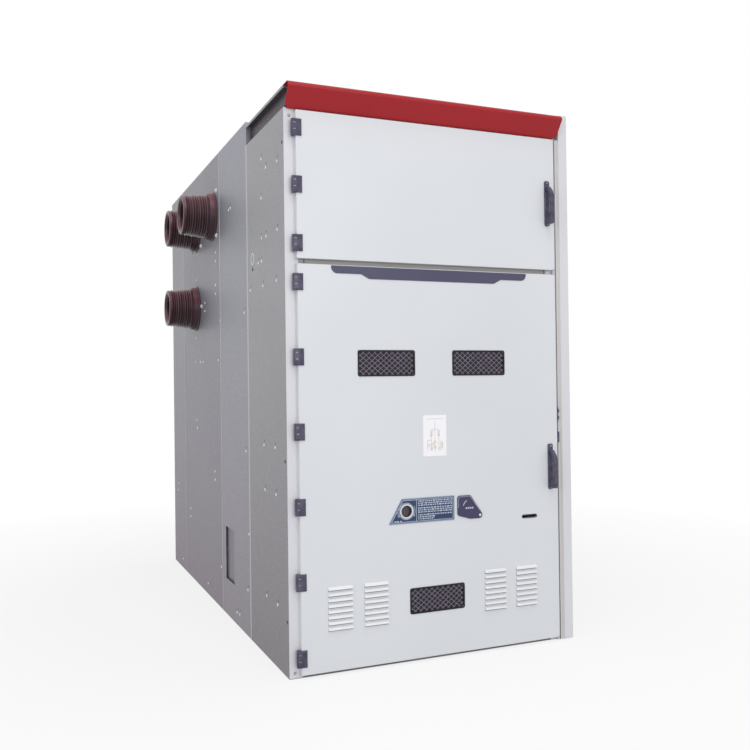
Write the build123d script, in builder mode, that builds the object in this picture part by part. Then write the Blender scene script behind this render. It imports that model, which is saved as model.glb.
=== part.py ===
from build123d import *
import os

os.makedirs("parts", exist_ok=True)

# Frame: origin at the middle of the footprint on the floor, +Z up.
# The doors face -Y, and +X is to the right of someone facing them.

# Main body
width = 1400
depth = 2800
height = 2600
sheet = 2
fold_depth = 25
floor_thickness = 3
foundation_spacing = (1200, 2500)
foundation_hole_radius = 9
left = -width / 2
right = width / 2
front = -depth / 2
rear = depth / 2

# Side wall seams, measured back from the front face
seam_front = front + 640
seam_middle = front + 1255
seam_rear = front + 2340
seam_gap = 2

# Heights of the front
sill_top = 45
middle_rail_bottom = 1780
deck_height = 1845
top_rail_bottom = 2425
front_wall_top = 2480
front_roof_top = 2578
front_roof_edge = 12
door_bottom = 18
lower_door_top = 1800
upper_door_bottom = 1823
upper_door_top = 2468

# Posts and rails
post_width = 60
rail_depth = 40
post_strip_width = 28
post_strip_depth = 16
inner_left = left + post_width
inner_right = right - post_width

# Doors: trays that stand in front of the posts
door_left = left + 48
door_right = left + 1367
door_face = front - 27
door_back = front - 5
door_lip = 16
upper_stiffeners = [left + 480, left + 930]
lower_stiffeners = [left + 100, left + 1280]

# Header
header_bottom = 2475
header_top = 2577
header_foot = front - 15
header_nose = front - 73
header_corner = 25

# Hinges
pivot_x = left + 37
pivot_y = front - 17
knuckle_radius = 9
pin_radius = 4
pin_clearance = 0.08
hinge_height = 74
hinge_middle = 36
hinge_gap = 0.5
frame_leaf_start = left + 36
frame_leaf_width = 9
door_leaf_width = 44
leaf_reach = 10
leaf_thickness = 4
upper_hinge_heights = [1889, 2143, 2391]
lower_hinge_heights = [90, 418, 743, 1069, 1394, 1720]

# Door handles
handle_x = left + 1333
handle_width = 27
handle_height = 222
handle_plate = 8
handle_gap = 1
spindle_height = 28
spindle_radius = 7
boss_radius = 13
lever_width = 18
lever_reach = 46
upper_handle_foot = 2036
lower_handle_foot = 747

# Windows of the lower door, as (middle x, middle z)
window_width = 282
window_height = 118
window_rim = 7
window_step = 6
window_radius = 10
window_centres = [(left + 464, 1366), (left + 939, 1366), (left + 707, 281)]

# Louvre banks of the lower door, as the middle x of each
louvre_banks = [left + 228, left + 400, left + 1015, left + 1188]
louvre_count = 8
louvre_pitch = 25
louvre_top = 387
louvre_length = 115
louvre_height = 14
louvre_reach = 8
louvre_skin = 1.4

# Operating holes of the lower door
crank_hole = (left + 552, 692)
crank_hole_radius = 27
crank_sleeve_radius = 29
crank_ring_radius = 33
emergency_hole = (left + 868, 692)
emergency_hole_radius = 27
flap_pivot = (left + 933, 650)
flap_gap = 0.6
flap_thickness = 4
rivet_radius = 3
key_slot = (left + 1210, 623)
key_slot_length = 78
key_slot_height = 10

# Busbar bushings on the left wall, as (y, z) of each axis
bushing_centres = {
    "bushing_upper_front": (front + 1440, 2265),
    "bushing_upper_rear": (front + 1905, 2265),
    "bushing_lower": (front + 1935, 1765),
}
bushing_reach = 186
bushing_inside = 120
bushing_bore = 85
bushing_mouth = 95
lip_radius = 112
lip_length = 22
neck_radius = 107
root_radius = 121
band_radius = 134
band_end = 42
flange_radius = 142
flange_thickness = 9
spigot_radius = 97
wall_hole_radius = 98
rib_count = 9
rib_height = 6
shed_height = 9

# Inside the front compartments
partition_face = seam_middle - 15
wall_inset = width / 2 - sheet - fold_depth - 1
shutter_heights = [640, 1180]
mounting_plate_middle = 2165
mounting_plate_face = seam_front - 40

# Cable window in the left middle wall strip, as (y, z)
cable_window = (front + 1080, 344)
cable_window_width = 194
cable_window_height = 290
cable_tray_margin = 20
cable_tray_depth = 12

# Rear, and the pressure relief covers on the roof, as (middle y, length)
rear_split = 1300
relief_width = 1180
relief_overlap = 40
relief_places = [(seam_front + 290, 430), ((seam_middle + seam_rear) / 2, 860), (seam_rear + 230, 400)]

# End cover on the right
cover_width = 58
cover_stand = 8
cover_front = front - 25
cover_return_end = front + 10
cover_bottom = 5
cover_top = 2592


def save(piece, label):
    piece.part.label = label
    export_step(piece.part, f"parts/{label}.step")


def cross_rail(z0, z1):
    """A folded rail between the front posts, open to the rear."""
    with BuildPart() as rail:
        with BuildSketch(Plane.YZ.offset(inner_left)):
            with Locations((front + rail_depth / 2, (z0 + z1) / 2)):
                Rectangle(rail_depth, z1 - z0)
            with Locations((front + sheet + rail_depth / 2, (z0 + z1) / 2)):
                Rectangle(rail_depth, z1 - z0 - 2 * sheet, mode=Mode.SUBTRACT)
        extrude(amount=inner_right - inner_left)
    return rail


def wall_strip(y0, y1, top, folds, top_fold):
    """A strip of the left side wall, with its edges folded inwards."""
    with BuildPart() as strip:
        with BuildSketch():
            with Locations((left, y0)):
                Rectangle(sheet, y1 - y0, align=Align.MIN)
        extrude(amount=top)
        with BuildSketch(Plane.XY.offset(floor_thickness)):
            for fold_y in folds:
                with Locations((left, fold_y)):
                    Rectangle(fold_depth, sheet, align=Align.MIN)
        extrude(amount=top - 2 * sheet - floor_thickness)
        if top_fold:
            with BuildSketch(Plane.XY.offset(top - sheet)):
                with Locations((left, y0 + rail_depth)):
                    Rectangle(fold_depth, y1 - y0 - rail_depth, align=Align.MIN)
            extrude(amount=sheet)
    return strip


def door_tray(z0, z1, stiffeners):
    """A door pressed from one sheet, with returns, a lip round the back and upright stiffeners."""
    door_width = door_right - door_left
    middle = (door_left + door_width / 2, (z0 + z1) / 2)
    inner_depth = door_back - door_face - 2 * sheet
    with BuildPart() as tray:
        with BuildSketch(Plane.XZ.offset(-door_face)):
            with Locations(middle):
                Rectangle(door_width, z1 - z0)
        extrude(amount=door_face - door_back)
        chamfer(tray.faces().sort_by(Axis.Y)[0].edges(), length=0.8)
        with BuildSketch(Plane.XZ.offset(-door_face - sheet)):
            with Locations(middle):
                Rectangle(door_width - 2 * sheet, z1 - z0 - 2 * sheet)
        extrude(amount=-inner_depth, mode=Mode.SUBTRACT)
        with BuildSketch(Plane.XZ.offset(sheet - door_back)):
            with Locations(middle):
                Rectangle(door_width - 2 * door_lip, z1 - z0 - 2 * door_lip)
        extrude(amount=-sheet, mode=Mode.SUBTRACT)
        with BuildSketch(Plane.XY.offset(z0 + sheet)):
            for x in stiffeners:
                with Locations((x, door_face + sheet)):
                    Rectangle(44, inner_depth, align=(Align.CENTER, Align.MIN))
                    Rectangle(40, inner_depth - sheet, align=(Align.CENTER, Align.MIN), mode=Mode.SUBTRACT)
        extrude(amount=z1 - z0 - 2 * sheet)
    return tray


# Floor with four foundation bolt holes
with BuildPart() as floor_plate:
    with BuildSketch():
        Rectangle(width - 2 * sheet, depth - 2 * sheet)
        with GridLocations(*foundation_spacing, 2, 2):
            Circle(foundation_hole_radius, mode=Mode.SUBTRACT)
    extrude(amount=floor_thickness)
save(floor_plate, "floor_plate")

# Front posts: folded channels whose webs cover the edges of the side walls. The right one carries
# a strip beside the doors' free edges.
with BuildPart() as front_posts:
    with BuildSketch(Plane.XY.offset(floor_thickness)):
        with Locations((left, front)):
            Rectangle(post_width, sheet, align=Align.MIN)
        with Locations((left + sheet, front)):
            Rectangle(sheet, rail_depth, align=Align.MIN)
        with Locations((inner_left - sheet, front)):
            Rectangle(sheet, rail_depth, align=Align.MIN)
    extrude(amount=front_wall_top - floor_thickness)
    mirror(about=Plane.YZ)
    with BuildSketch(Plane.XY.offset(floor_thickness)):
        with Locations((right, front)):
            Rectangle(post_strip_width, post_strip_depth, align=Align.MAX)
            Rectangle(post_strip_width - sheet, post_strip_depth - sheet, align=Align.MAX, mode=Mode.SUBTRACT)
    extrude(amount=header_bottom - 5 - floor_thickness)
save(front_posts, "front_posts")

# Cross rails between the posts
save(cross_rail(floor_thickness, sill_top), "front_sill")
save(cross_rail(middle_rail_bottom, deck_height), "middle_rail")
save(cross_rail(top_rail_bottom, front_roof_top - front_roof_edge), "top_rail")

# Header: one folded sheet that leans forward to a rounded nose, with rounded lower corners
with BuildPart() as header:
    with BuildSketch(Plane.YZ.offset(left)):
        with BuildLine():
            foot = Line((front, header_bottom + 14), (front, header_bottom))
            base = Line(foot @ 1, (header_foot, header_bottom))
            face = Line(base @ 1, (header_nose, header_top - 22))
            nose = RadiusArc(face @ 1, (header_nose + 16, header_top), 19)
            Line(nose @ 1, (front, header_top))
            offset(amount=sheet, side=Side.RIGHT)
        make_face()
    extrude(amount=width)
    with BuildSketch(Plane.XZ.offset(-front)):
        with Locations((0, header_bottom)):
            RectangleRounded(width, 2 * (header_top - header_bottom), header_corner, align=(Align.CENTER, Align.MIN))
    extrude(amount=2 * (front - header_nose), both=True, mode=Mode.INTERSECT)
save(header, "header")

# Side walls: the left strips from front to rear, mirrored together for the right side
front_start = front + sheet
front_end = seam_front - seam_gap / 2
middle_start = seam_front + seam_gap / 2
middle_end = seam_middle - seam_gap / 2
busbar_start = seam_middle + seam_gap / 2
busbar_end = seam_rear - seam_gap / 2
rear_start = seam_rear + seam_gap / 2
front_strip = wall_strip(front_start, front_end, front_wall_top, [front_end - sheet], True)
middle_strip = wall_strip(middle_start, middle_end, height, [middle_start, middle_end - sheet], False)
busbar_strip = wall_strip(busbar_start, busbar_end, height, [busbar_start, busbar_end - sheet], False)
rear_strip = wall_strip(rear_start, rear - sheet, height, [rear_start], False)
save(front_strip, "left_front_panel")
save(rear_strip, "left_rear_panel")

with BuildPart() as right_side_panels:
    for strip in (front_strip, middle_strip, busbar_strip, rear_strip):
        mirror(strip.part, about=Plane.YZ)
save(right_side_panels, "right_side_panels")

with BuildPart() as left_middle_panel:
    add(middle_strip.part)
    with BuildSketch(Plane.YZ.offset(left)):
        with Locations(cable_window):
            Rectangle(cable_window_width, cable_window_height)
    extrude(amount=sheet, mode=Mode.SUBTRACT)
save(left_middle_panel, "left_middle_panel")

with BuildPart() as left_busbar_panel:
    add(busbar_strip.part)
    with BuildSketch(Plane.YZ.offset(left)):
        with Locations(*bushing_centres.values()):
            Circle(wall_hole_radius)
    extrude(amount=sheet, mode=Mode.SUBTRACT)
save(left_busbar_panel, "left_busbar_panel")

# Tray that closes the cable window from inside
with BuildPart() as cable_window_tray:
    with BuildSketch(Plane.YZ.offset(left + sheet)):
        with Locations(cable_window):
            Rectangle(cable_window_width + 2 * cable_tray_margin, cable_window_height + 2 * cable_tray_margin)
    extrude(amount=cable_tray_depth)
    open_face = cable_window_tray.faces().sort_by(Axis.X)[0]
    offset(amount=-sheet, openings=open_face)
save(cable_window_tray, "cable_window_tray")

# Busbar bushings: a ribbed resin sleeve with its flange on the wall and a spigot inside.
# A smooth band follows the flange. The body tapers from there to the lip, and every third rib
# is a taller shed.
lip_start = bushing_reach - lip_length
rib_pitch = (lip_start - band_end) / rib_count
rib_outline = []
for rib in range(rib_count):
    start = band_end + rib * rib_pitch
    root = root_radius + (neck_radius - root_radius) * (rib + 0.5) / rib_count
    tip = root + (shed_height if rib % 3 == 2 else rib_height)
    rib_outline += [(start + 0.25 * rib_pitch, root), (start + 0.6 * rib_pitch, tip)]
bushing_outline = [
    (-bushing_inside, bushing_bore),
    (-bushing_inside, spigot_radius),
    (0, spigot_radius),
    (0, flange_radius),
    (flange_thickness - 2, flange_radius),
    (flange_thickness, flange_radius - 2),
    (flange_thickness, band_radius),
    (band_end - 3, band_radius - 2),
    (band_end, root_radius),
    *rib_outline,
    (lip_start, neck_radius),
    (lip_start + 6, lip_radius),
    (bushing_reach - 4, lip_radius),
    (bushing_reach, lip_radius - 5),
    (bushing_reach, bushing_mouth),
    (bushing_reach - 14, bushing_bore),
]
for name, (y, z) in bushing_centres.items():
    with BuildPart() as bushing:
        with BuildSketch(Plane(origin=(left, y, z), x_dir=(-1, 0, 0), z_dir=(0, 1, 0))):
            with BuildLine():
                Polyline(*bushing_outline, close=True)
            make_face()
        revolve(axis=Axis((left, y, z), (-1, 0, 0)))
    save(bushing, name)

# Front roof plate: a shallow folded tray over the wiring duct
with BuildPart() as front_roof_plate:
    with BuildSketch(Plane.XY.offset(front_roof_top - front_roof_edge)):
        with Locations((0, (front + seam_front) / 2)):
            Rectangle(width, seam_front - front)
    extrude(amount=front_roof_edge)
    open_face = front_roof_plate.faces().sort_by(Axis.Z)[0]
    offset(amount=-sheet, openings=open_face)
save(front_roof_plate, "front_roof_plate")

# Rear roof with three pressure relief openings, each under a cover
with BuildPart() as rear_roof_plate:
    with BuildSketch(Plane.XY.offset(height - 2 * sheet)):
        with Locations((0, (seam_front + rear) / 2)):
            Rectangle(width - 2 * sheet, rear - seam_front - 2 * sheet)
        for y, length in relief_places:
            with Locations((0, y)):
                Rectangle(relief_width - 2 * relief_overlap, length - 2 * relief_overlap, mode=Mode.SUBTRACT)
    extrude(amount=sheet)
save(rear_roof_plate, "rear_roof_plate")

with BuildPart() as relief_covers:
    with BuildSketch(Plane.XY.offset(height - sheet)):
        for y, length in relief_places:
            with Locations((0, y)):
                RectangleRounded(relief_width, length, 12)
    extrude(amount=sheet)
save(relief_covers, "relief_covers")

# Wiring duct floor, which is also the ceiling of the instrument compartment. Its ends are folded
# up to the roof plate and blank the duct, set back from the wall.
duct_front = front + sheet + rail_depth
with BuildPart() as duct_floor:
    with BuildSketch(Plane.XY.offset(front_wall_top - 2 * sheet)):
        with Locations((0, (duct_front + seam_front) / 2)):
            Rectangle(2 * wall_inset, seam_front - duct_front)
    extrude(amount=sheet)
    with BuildSketch(Plane.XY.offset(front_wall_top - 2 * sheet)):
        with Locations((-wall_inset, duct_front)):
            Rectangle(sheet, seam_front - duct_front - sheet, align=Align.MIN)
    extrude(amount=front_roof_top - front_wall_top + sheet)
    mirror(about=Plane.YZ)
save(duct_floor, "duct_floor")

# Deck between the instrument compartment and the breaker compartment
with BuildPart() as compartment_deck:
    with BuildSketch(Plane.XY.offset(deck_height)):
        with Locations((0, front + sheet)):
            Rectangle(inner_right - inner_left, rail_depth, align=(Align.CENTER, Align.MIN))
        with Locations((0, duct_front)):
            Rectangle(2 * wall_inset, partition_face - duct_front, align=(Align.CENTER, Align.MIN))
    extrude(amount=sheet)
save(compartment_deck, "compartment_deck")

# Back walls of the instrument compartment, above the deck, and of the breaker compartment
with BuildPart() as partitions:
    with BuildSketch(Plane.XY.offset(deck_height + sheet)):
        with Locations((0, seam_front)):
            Rectangle(2 * wall_inset, sheet, align=(Align.CENTER, Align.MIN))
    extrude(amount=height - deck_height - 3 * sheet)
    with BuildSketch(Plane.XY.offset(floor_thickness)):
        with Locations((0, partition_face)):
            Rectangle(2 * wall_inset, sheet, align=(Align.CENTER, Align.MIN))
    extrude(amount=deck_height - floor_thickness)
save(partitions, "partitions")

# Shutters over the contact openings of the breaker partition, pressed with three beads each
shutter_thickness = 3
with BuildPart() as shutters:
    for z in shutter_heights:
        with BuildSketch(Plane.XZ.offset(-partition_face)):
            with Locations((0, z)):
                Rectangle(1120, 300)
        extrude(amount=shutter_thickness)
        with BuildSketch(Plane.XZ.offset(shutter_thickness - partition_face)):
            with Locations((0, z)), GridLocations(0, 80, 1, 3):
                Rectangle(1020, 24)
        extrude(amount=4, taper=30)
save(shutters, "shutters")

# Guide rails for the breaker truck: angles fixed to the floor
rail_clearance = 60
with BuildPart() as guide_rails:
    with BuildSketch(Plane.XZ.offset(-front - rail_clearance)):
        with Locations((520, floor_thickness)):
            Rectangle(40, 3, align=Align.MIN)
            Rectangle(3, 30, align=Align.MIN)
    extrude(amount=front - partition_face + 2 * rail_clearance)
    mirror(about=Plane.YZ)
save(guide_rails, "guide_rails")

# Mounting plate of the instrument compartment, on four studs, with three device rails
with BuildPart() as mounting_plate:
    with BuildSketch(Plane.XZ.offset(-mounting_plate_face)):
        with Locations((0, mounting_plate_middle)):
            Rectangle(1120, 500)
    extrude(amount=sheet)
    with BuildSketch(Plane.XZ.offset(-mounting_plate_face)):
        with Locations((0, mounting_plate_middle)), GridLocations(1000, 420, 2, 2):
            Rectangle(10, 10)
    extrude(amount=mounting_plate_face - seam_front)
    with BuildSketch(Plane.XZ.offset(sheet - mounting_plate_face)):
        with Locations((0, mounting_plate_middle)), GridLocations(0, 150, 1, 3):
            Rectangle(1000, 25)
    extrude(amount=6)
    with BuildSketch(Plane.XZ.offset(sheet + 6 - mounting_plate_face)):
        with Locations((0, mounting_plate_middle)), GridLocations(0, 150, 1, 3):
            Rectangle(1000, 35)
    extrude(amount=1.5)
save(mounting_plate, "mounting_plate")

# Rear posts with the rail between the two rear covers
with BuildPart() as rear_frame:
    with BuildSketch(Plane.XY.offset(floor_thickness)):
        with Locations((left + sheet, rear - sheet)):
            Rectangle(post_width, sheet, align=(Align.MIN, Align.MAX))
        with Locations((left + sheet + post_width, rear - sheet)):
            Rectangle(sheet, rail_depth, align=(Align.MAX, Align.MAX))
    extrude(amount=height - 2 * sheet - floor_thickness)
    mirror(about=Plane.YZ)
    with BuildSketch(Plane.XZ.offset(sheet - rear)):
        with Locations((0, rear_split)):
            Rectangle(width - 2 * sheet - 2 * post_width, 60)
    extrude(amount=sheet)
save(rear_frame, "rear_frame")

# Rear covers: plates with a folded ring that fits between the rear posts
ring_width = 1240
ring_margin = 45
with BuildPart() as rear_covers:
    for z0, z1 in ((10, rear_split - 2), (rear_split + 2, height - 6)):
        with BuildSketch(Plane.XZ.offset(sheet - rear)):
            with Locations((0, (z0 + z1) / 2)):
                Rectangle(width - 12, z1 - z0)
        extrude(amount=-sheet)
        ring_height = z1 - z0 - 2 * ring_margin
        with BuildSketch(Plane.XZ.offset(sheet - rear)):
            with Locations((0, (z0 + z1) / 2)):
                Rectangle(ring_width, ring_height)
                Rectangle(ring_width - 2 * sheet, ring_height - 2 * sheet, mode=Mode.SUBTRACT)
        extrude(amount=24)
save(rear_covers, "rear_covers")

# End cover on the right: a folded sheet box that is open towards the wall.
# Its front edge stands off the post, and returns to the wall behind the post's face.
cover_height = cover_top - cover_bottom
return_length = cover_return_end - cover_front
with BuildPart() as end_cover:
    with BuildSketch(Plane.XY.offset(cover_bottom)):
        with Locations((right, cover_front)):
            Rectangle(cover_width, rear - cover_front, align=Align.MIN)
    extrude(amount=cover_height)
    fillet(end_cover.edges().filter_by(Axis.Z).group_by(Axis.X)[-1], radius=3)
    open_face = end_cover.faces().sort_by(Axis.X)[0]
    offset(amount=-sheet, openings=open_face)
    with BuildSketch(Plane.XY.offset(cover_bottom)):
        with Locations((right, cover_front)):
            Rectangle(cover_stand, return_length, align=Align.MIN)
    extrude(amount=cover_height, mode=Mode.SUBTRACT)
    with BuildSketch(Plane.XY.offset(cover_bottom)):
        with Locations((right + cover_stand, cover_front)):
            Rectangle(sheet, return_length, align=Align.MIN)
        with Locations((right, cover_return_end)):
            Rectangle(cover_stand + sheet, sheet, align=Align.MIN)
    extrude(amount=cover_height)
save(end_cover, "end_cover")

# Upper door
save(door_tray(upper_door_bottom, upper_door_top, upper_stiffeners), "upper_door")

# One louvre, made at the origin of its place on the door: a pressed hood that opens downwards
hood_top = (0, louvre_height)
hood_bend = (-0.78 * louvre_reach, 0.5 * louvre_height)
hood_lip = (-louvre_reach, 0)
hood_inner_lip = (louvre_skin - louvre_reach, 0)
hood_inner_bend = (louvre_skin - 0.8 * louvre_reach, 0.45 * louvre_height)
hood_inner_top = (0, louvre_height - 2 * louvre_skin)
with BuildPart() as hood:
    with BuildSketch(Plane.YZ.offset(-louvre_length / 2)):
        with BuildLine():
            Polyline(hood_top, hood_bend, hood_lip, hood_inner_lip, hood_inner_bend, hood_inner_top, close=True)
        make_face()
    extrude(amount=louvre_length)
    for end in (-louvre_length / 2, louvre_length / 2 - louvre_skin):
        with BuildSketch(Plane.YZ.offset(end)):
            with BuildLine():
                Polyline(hood_top, hood_bend, hood_lip, (0, 0), close=True)
            make_face()
        extrude(amount=louvre_skin)
hood_places = []
slot_places = []
for bank_x in louvre_banks:
    for row in range(louvre_count):
        hood_z = louvre_top - louvre_height - row * louvre_pitch
        hood_places.append((bank_x, door_face, hood_z))
        slot_places.append((bank_x, hood_z + louvre_height / 2 - louvre_skin))

# Lower door with its windows, operating holes and louvres
lower_tray = door_tray(door_bottom, lower_door_top, lower_stiffeners)
window_hole = (window_width - 2 * window_step, window_height - 2 * window_step)
with BuildPart() as lower_door:
    add(lower_tray.part)
    with BuildSketch(Plane.XZ.offset(-door_face)):
        with Locations(*window_centres):
            RectangleRounded(*window_hole, window_radius)
        with Locations(crank_hole):
            Circle(crank_sleeve_radius)
        with Locations(emergency_hole):
            Circle(emergency_hole_radius)
        with Locations(key_slot):
            SlotOverall(key_slot_length, key_slot_height)
        with Locations(*slot_places):
            Rectangle(louvre_length - 2 * louvre_skin, louvre_height - 2 * louvre_skin)
    extrude(amount=-sheet, mode=Mode.SUBTRACT)
    with Locations(*hood_places):
        add(hood.part)
save(lower_door, "lower_door")

# Window rims of black rubber: a bead on the face and a lining through the sheet
window_clear = (window_width - 2 * window_rim, window_height - 2 * window_rim)
clear_radius = 5
with BuildPart() as window_rims:
    with BuildSketch(Plane.XZ.offset(-door_face)):
        with Locations(*window_centres):
            RectangleRounded(window_width, window_height, window_radius)
            RectangleRounded(*window_clear, clear_radius, mode=Mode.SUBTRACT)
    extrude(amount=2.5)
    with BuildSketch(Plane.XZ.offset(-door_face)):
        with Locations(*window_centres):
            RectangleRounded(*window_hole, window_radius)
            RectangleRounded(*window_clear, clear_radius, mode=Mode.SUBTRACT)
    extrude(amount=-8)
save(window_rims, "window_rims")

with BuildPart() as window_panes:
    with BuildSketch(Plane.XZ.offset(-door_face - 3)):
        with Locations(*window_centres):
            RectangleRounded(*window_clear, clear_radius)
    extrude(amount=-4)
save(window_panes, "window_panes")

# Bare name strip along the top of the lower door, stepped at both ends
strip_middle = left + 704.5
with BuildPart() as name_strip:
    with BuildSketch(Plane.XZ.offset(-door_face)):
        with BuildLine():
            deep = Line((strip_middle, 1743), (strip_middle + 322, 1743))
            step = Line(deep @ 1, (strip_middle + 360, 1763))
            shallow = Line(step @ 1, (strip_middle + 478, 1763))
            end = ThreePointArc(shallow @ 1, (strip_middle + 496, 1774), (strip_middle + 502, 1797))
            Line(end @ 1, (strip_middle, 1797))
            mirror(about=Plane.YZ.offset(strip_middle))
        make_face()
    extrude(amount=2)
save(name_strip, "name_strip")

# Operating plate round the crank hole
with BuildPart() as operating_plate:
    with BuildSketch(Plane.XZ.offset(-door_face)) as plate_outline:
        with BuildLine():
            Polyline(
                (left + 464, 636),
                (left + 799, 636),
                (left + 799, 749),
                (left + 530, 749),
                close=True,
            )
        make_face()
        fillet(plate_outline.vertices(), radius=6)
        with Locations(crank_hole):
            Circle(crank_ring_radius, mode=Mode.SUBTRACT)
    extrude(amount=2)
save(operating_plate, "operating_plate")

# Metal ring that lines the crank hole
with BuildPart() as crank_ring:
    with BuildSketch(Plane.XZ.offset(-door_face)):
        with Locations(crank_hole):
            Circle(crank_ring_radius)
            Circle(crank_hole_radius, mode=Mode.SUBTRACT)
    extrude(amount=5)
    with BuildSketch(Plane.XZ.offset(-door_face)):
        with Locations(crank_hole):
            Circle(crank_sleeve_radius)
            Circle(crank_hole_radius, mode=Mode.SUBTRACT)
    extrude(amount=-8)
save(crank_ring, "crank_ring")

# Blank card for the circuit diagram
with BuildPart() as diagram_card:
    with BuildSketch(Plane.XZ.offset(-door_face)):
        with Locations((left + 702, 1031)):
            RectangleRounded(120, 189, 3)
    extrude(amount=1.2)
save(diagram_card, "diagram_card")

# Swinging flap over the emergency hole, square at its free end and narrow at its rivet
with BuildPart() as hole_flap:
    with BuildSketch(Plane.XZ.offset(flap_gap - door_face)) as flap_outline:
        with BuildLine():
            Polyline(
                (left + 814, 654),
                (left + 814, 746),
                (left + 884, 746),
                (left + 950, 650),
                (left + 938, 634),
                (left + 882, 634),
                close=True,
            )
        make_face()
        fillet(flap_outline.vertices(), radius=15)
        with Locations(flap_pivot):
            Circle(rivet_radius + pin_clearance, mode=Mode.SUBTRACT)
    extrude(amount=flap_thickness)
    chamfer(hole_flap.faces().sort_by(Axis.Y)[0].outer_wire().edges(), length=1.2)
save(hole_flap, "hole_flap")

flap_rivet_length = flap_gap + flap_thickness + 0.4
with BuildPart() as flap_rivet:
    with BuildSketch(Plane.XZ.offset(-door_face)):
        with Locations(flap_pivot):
            Circle(rivet_radius)
    extrude(amount=flap_rivet_length)
    with BuildSketch(Plane.XZ.offset(flap_rivet_length - door_face)):
        with Locations(flap_pivot):
            Circle(2 * rivet_radius)
    extrude(amount=2)
save(flap_rivet, "flap_rivet")

# Hinges: the frame leaf stands on the post and carries the pin
pin_inset = 2
with BuildPart() as frame_leaf:
    with BuildSketch(Plane.XY.offset(-hinge_middle / 2)):
        with Locations((pivot_x, pivot_y)):
            Circle(knuckle_radius)
        with Locations((frame_leaf_start, pivot_y)):
            Rectangle(frame_leaf_width, front - pivot_y, align=Align.MIN)
    extrude(amount=hinge_middle)
    with BuildSketch(Plane.XY.offset(pin_inset - hinge_height / 2)):
        with Locations((pivot_x, pivot_y)):
            Circle(pin_radius)
    extrude(amount=hinge_height - 2 * pin_inset)

# The door leaf lies on the door's face, covers the knuckle and reaches back to it above and below
knuckle_height = (hinge_height - hinge_middle) / 2 - hinge_gap
leaf_face = door_face - leaf_thickness
with BuildPart() as door_leaf:
    with BuildSketch(Plane.XZ.offset(-door_face)):
        with Locations((pivot_x - knuckle_radius, 0)):
            Rectangle(door_leaf_width, hinge_height, align=(Align.MIN, Align.CENTER))
    extrude(amount=leaf_thickness)
    with BuildSketch(Plane.XY.offset(hinge_height / 2 - knuckle_height)):
        with Locations((pivot_x, pivot_y)):
            Circle(knuckle_radius)
        with Locations((pivot_x - knuckle_radius, leaf_face)):
            Rectangle(knuckle_radius + leaf_reach, pivot_y - leaf_face, align=Align.MIN)
        with Locations((pivot_x, pivot_y)):
            Circle(pin_radius + pin_clearance, mode=Mode.SUBTRACT)
    extrude(amount=knuckle_height)
    mirror(about=Plane.XY)
    chamfer(door_leaf.edges().filter_by(Axis.Z).group_by(Axis.X)[0].group_by(Axis.Y)[0], length=2.5)

with BuildPart() as frame_hinges:
    with Locations(*[(0, 0, z) for z in upper_hinge_heights + lower_hinge_heights]):
        add(frame_leaf.part)
save(frame_hinges, "frame_hinges")

for door, heights in (("upper", upper_hinge_heights), ("lower", lower_hinge_heights)):
    with BuildPart() as door_hinges:
        with Locations(*[(0, 0, z) for z in heights]):
            add(door_leaf.part)
    save(door_hinges, f"{door}_door_hinges")

# Handle base, made with its foot at z = 0: a long plate with a socket for the spindle
plate_front = door_face - handle_plate
socket_floor = 2
with BuildPart() as handle_base:
    with BuildSketch(Plane.XZ.offset(-door_face)):
        with Locations((handle_x, handle_height / 2)):
            RectangleRounded(handle_width, handle_height, 9)
    extrude(amount=handle_plate)
    chamfer(handle_base.faces().sort_by(Axis.Y)[0].edges(), length=1.5)
    with BuildSketch(Plane.XZ.offset(socket_floor - door_face)):
        with Locations((handle_x, spindle_height)):
            Circle(spindle_radius + pin_clearance)
    extrude(amount=handle_plate, mode=Mode.SUBTRACT)

# Handle lever: a deep block over the spindle and a long grip that bends back to its tip
lever_back = plate_front - handle_gap
lever_front = plate_front - lever_reach
with BuildPart() as lever:
    with BuildSketch(Plane.YZ.offset(handle_x - lever_width / 2)):
        with BuildLine():
            Polyline(
                (lever_back, 8),
                (lever_front + 6, 8),
                (lever_front, 16),
                (lever_front, 140),
                (lever_front + 8, 168),
                (lever_front + 30, 192),
                (lever_back - 1, 192),
                (lever_back - 1, 176),
                (lever_front + 24, 162),
                (lever_front + 16, 134),
                (lever_front + 16, 60),
                (lever_front + 24, 50),
                (lever_back, 46),
                close=True,
            )
        make_face()
    extrude(amount=lever_width)
    chamfer(lever.faces().sort_by(Axis.X)[0].edges(), length=1.5)
    chamfer(lever.faces().sort_by(Axis.X)[-1].edges(), length=1.5)
    with BuildSketch(Plane.XZ.offset(-lever_back)):
        with Locations((handle_x, spindle_height)):
            Circle(boss_radius)
    extrude(amount=38)
    with BuildSketch(Plane.XZ.offset(-lever_back)):
        with Locations((handle_x, spindle_height)):
            Circle(spindle_radius)
    extrude(amount=socket_floor + 1 - handle_plate)

for door, foot in (("upper", upper_handle_foot), ("lower", lower_handle_foot)):
    with BuildPart() as base:
        with Locations((0, 0, foot)):
            add(handle_base.part)
    save(base, f"{door}_handle_base")
    with BuildPart() as grip:
        with Locations((0, 0, foot)):
            add(lever.part)
    save(grip, f"{door}_handle_lever")

# Keepers for the door's lock rods, on the right post's strip
keeper_x = left + 1376
keeper_face = front - post_strip_depth
with BuildPart() as lock_keepers:
    with BuildSketch(Plane.XZ.offset(-keeper_face)):
        with BuildLine():
            Polyline(
                (keeper_x, 1170),
                (keeper_x + 18, 1128),
                (keeper_x + 9, 1112),
                (keeper_x + 18, 1096),
                (keeper_x, 1056),
                close=True,
            )
        make_face()
        with Locations((keeper_x + 8, 1000)):
            RectangleRounded(16, 54, 4)
    extrude(amount=8)
save(lock_keepers, "lock_keepers")
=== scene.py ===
import math
import bmesh
import bpy
from mathutils import Matrix, Vector


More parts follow.
